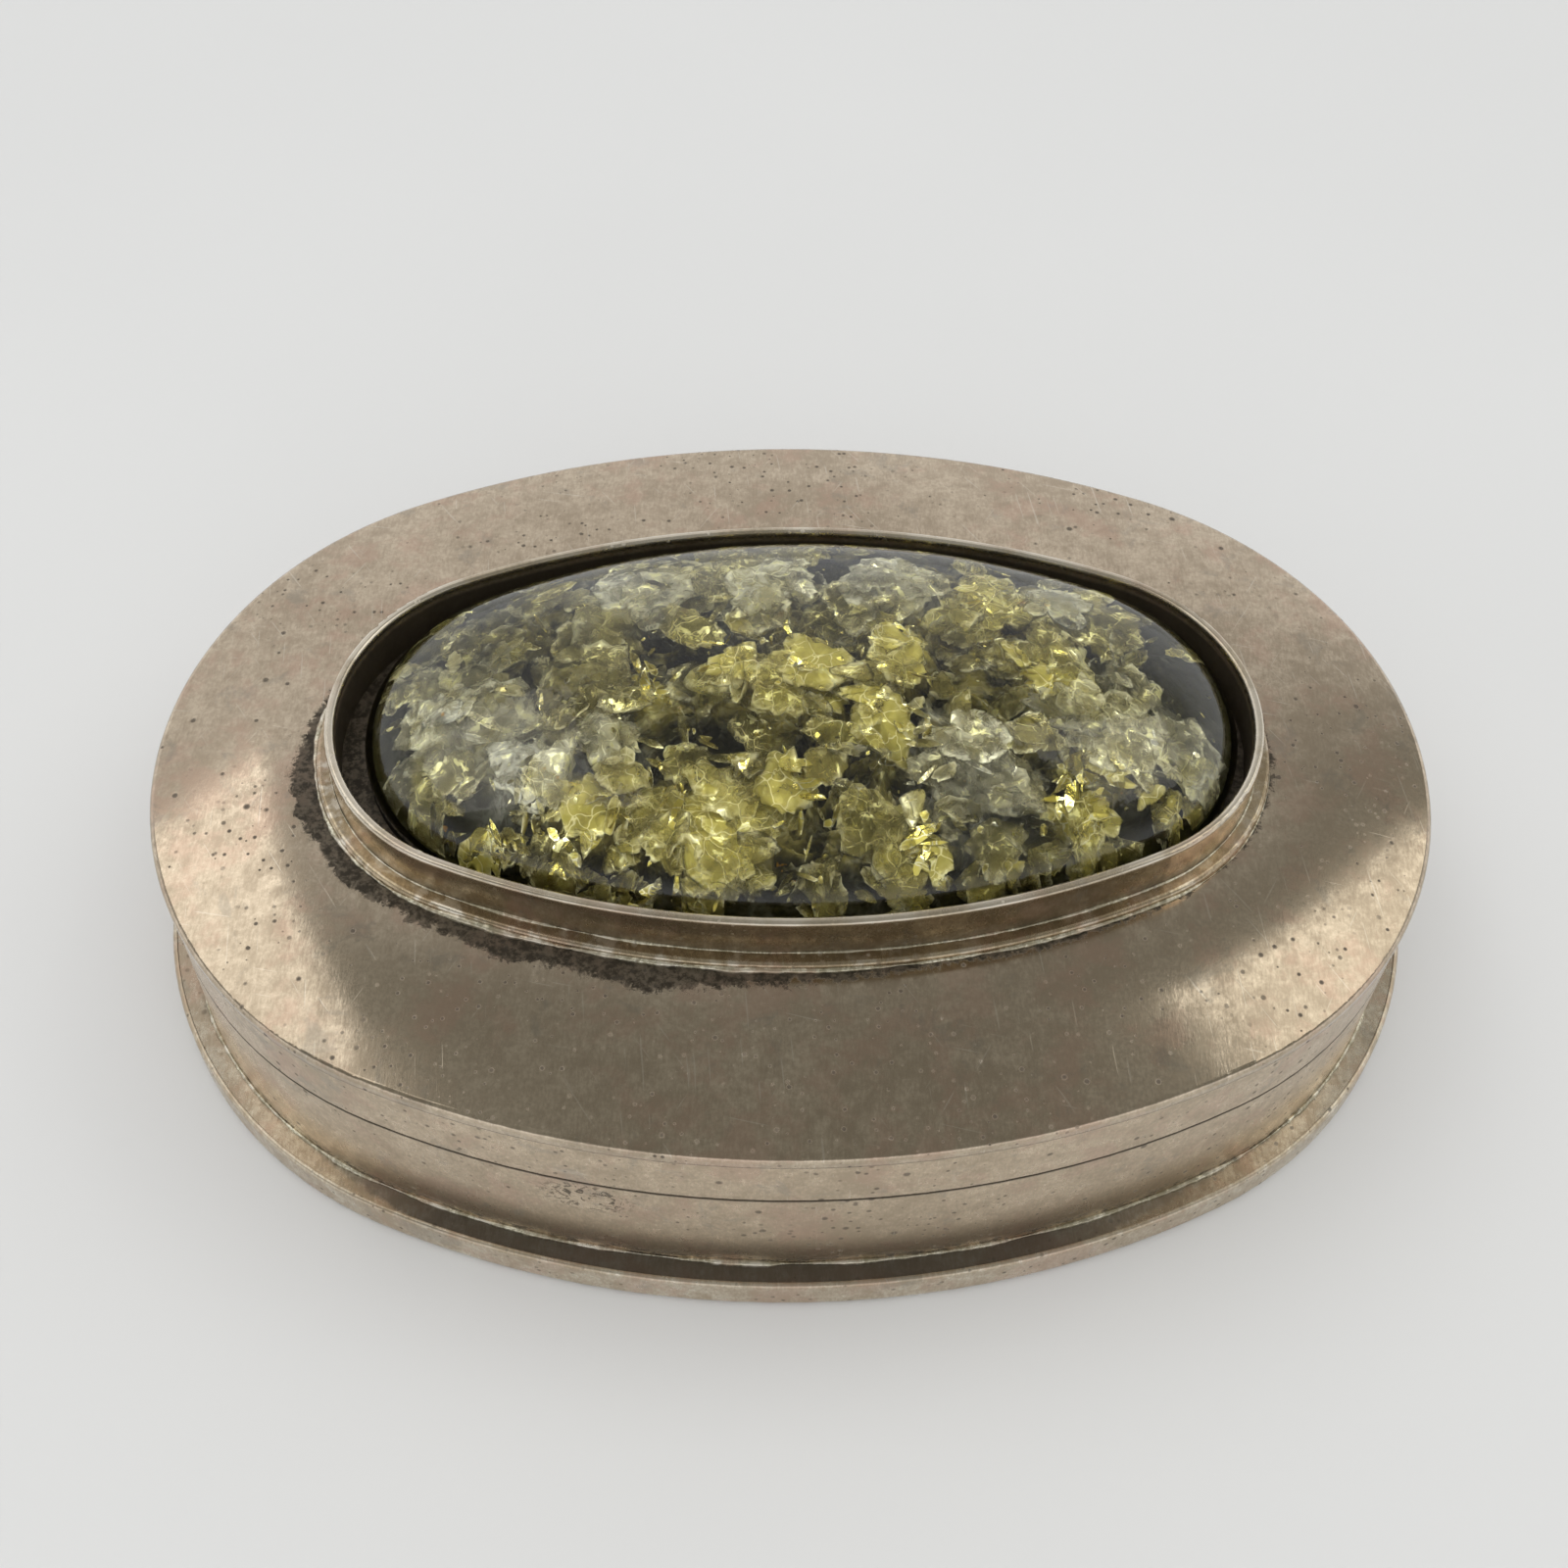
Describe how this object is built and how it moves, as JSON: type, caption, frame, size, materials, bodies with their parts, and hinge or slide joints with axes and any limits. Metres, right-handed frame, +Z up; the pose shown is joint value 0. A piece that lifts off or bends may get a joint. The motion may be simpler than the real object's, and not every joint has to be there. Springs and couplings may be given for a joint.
{
  "type": "pill box",
  "caption": "Oval hinged pill box in tarnished silver, its low-domed lid set with a large green amber cabochon in a raised bezel.",
  "frame": {"origin": "centre of the underside, on the surface that the box stands on", "axes": "+Z up, +X along the longer side of the oval, +Y towards the hinge at the back"},
  "size_m": [0.0622, 0.045, 0.0184],
  "materials": {
    "silver_outer": "tarnished sterling silver, worn satin polish with pits and fine scratches",
    "silver_bezel": "tarnished sterling silver with a rubbed bright rim",
    "silver_foot": "tarnished sterling silver, rubbed along the edge, dark in the corner",
    "silver_inside": "lightly tarnished sterling silver, satin",
    "silver_hinge": "tarnished drawn silver tube and wire",
    "resin_clear": "clear polished resin dome",
    "amber_chips": "green amber flakes, translucent, with bright cracks",
    "stone_backing": "near-black blue-green backing"
  },
  "bodies": {
    "base": {"base_plate": "silver_foot", "foot_wire": "silver_foot", "body_wall": "silver_outer", "inner_liner": "silver_inside", "base_hinge_bearer": "silver_hinge", "base_knuckle_left": "silver_hinge", "base_knuckle_middle": "silver_hinge", "base_knuckle_right": "silver_hinge", "hinge_pin": "silver_hinge"},
    "lid": {"lid_plate": "silver_outer", "lid_wall": "silver_outer", "bezel_wall": "silver_bezel", "bezel_step_wire": "silver_bezel", "stone_backing": "stone_backing", "amber_chip_layer": "amber_chips", "resin_dome": "resin_clear", "lid_hinge_bearer": "silver_hinge", "lid_knuckle_left": "silver_hinge", "lid_knuckle_right": "silver_hinge"}
  },
  "joints": [
    {"name": "lid_hinge", "type": "hinge", "parent": "base", "child": "lid", "pos_m": [0, 0.0215, 0.00795], "axis": [-1, 0, 0], "range_deg": [0, 105]}
  ]
}
